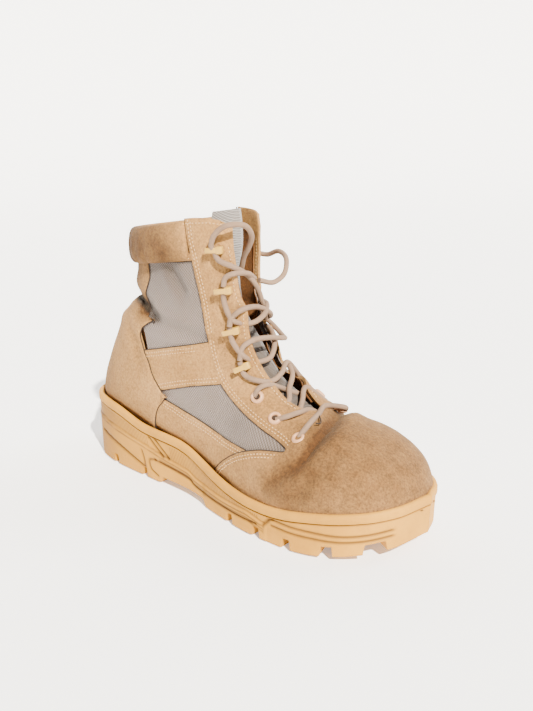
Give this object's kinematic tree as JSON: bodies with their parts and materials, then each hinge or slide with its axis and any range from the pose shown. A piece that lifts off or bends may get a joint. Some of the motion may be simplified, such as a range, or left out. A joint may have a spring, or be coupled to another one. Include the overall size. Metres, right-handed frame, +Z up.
{
  "type": "combat boot",
  "caption": "Laced ankle-high combat boot for the right foot: hollow suede and fabric upper, padded collar, lugged rubber sole, hooks and eyelets with a loose lace.",
  "frame": {"origin": "centre of the boot's box, on the floor under the sole", "axes": "+X to the toe, +Y to the inner (medial) side, +Z up"},
  "size_m": [0.305, 0.1092, 0.2089],
  "materials": {
    "sole": "satin",
    "suede": "matte",
    "lining": "matte",
    "tongue": "matte",
    "hook": "satin",
    "eyelet": "satin",
    "lace": "matte"
  },
  "bodies": {
    "root": {"outsole": "sole", "midsole": "sole", "insole": "lining", "upper": "suede", "heel_counter": "suede", "collar_pad": "suede", "tongue": "tongue", "hook_lateral_1": "hook", "hook_lateral_2": "hook", "hook_lateral_3": "hook", "hook_lateral_4": "hook", "hook_medial_1": "hook", "hook_medial_2": "hook", "hook_medial_3": "hook", "hook_medial_4": "hook", "eyelet_lateral_1": "eyelet", "eyelet_lateral_2": "eyelet", "eyelet_lateral_3": "eyelet", "eyelet_medial_1": "eyelet", "eyelet_medial_2": "eyelet", "eyelet_medial_3": "eyelet", "lace_bar": "lace", "lace_crossing_1": "lace", "lace_crossing_2": "lace", "lace_crossing_3": "lace", "lace_crossing_4": "lace", "lace_crossing_5": "lace", "lace_crossing_6": "lace", "lace_end_lateral": "lace", "lace_end_medial": "lace"}
  },
  "joints": []
}
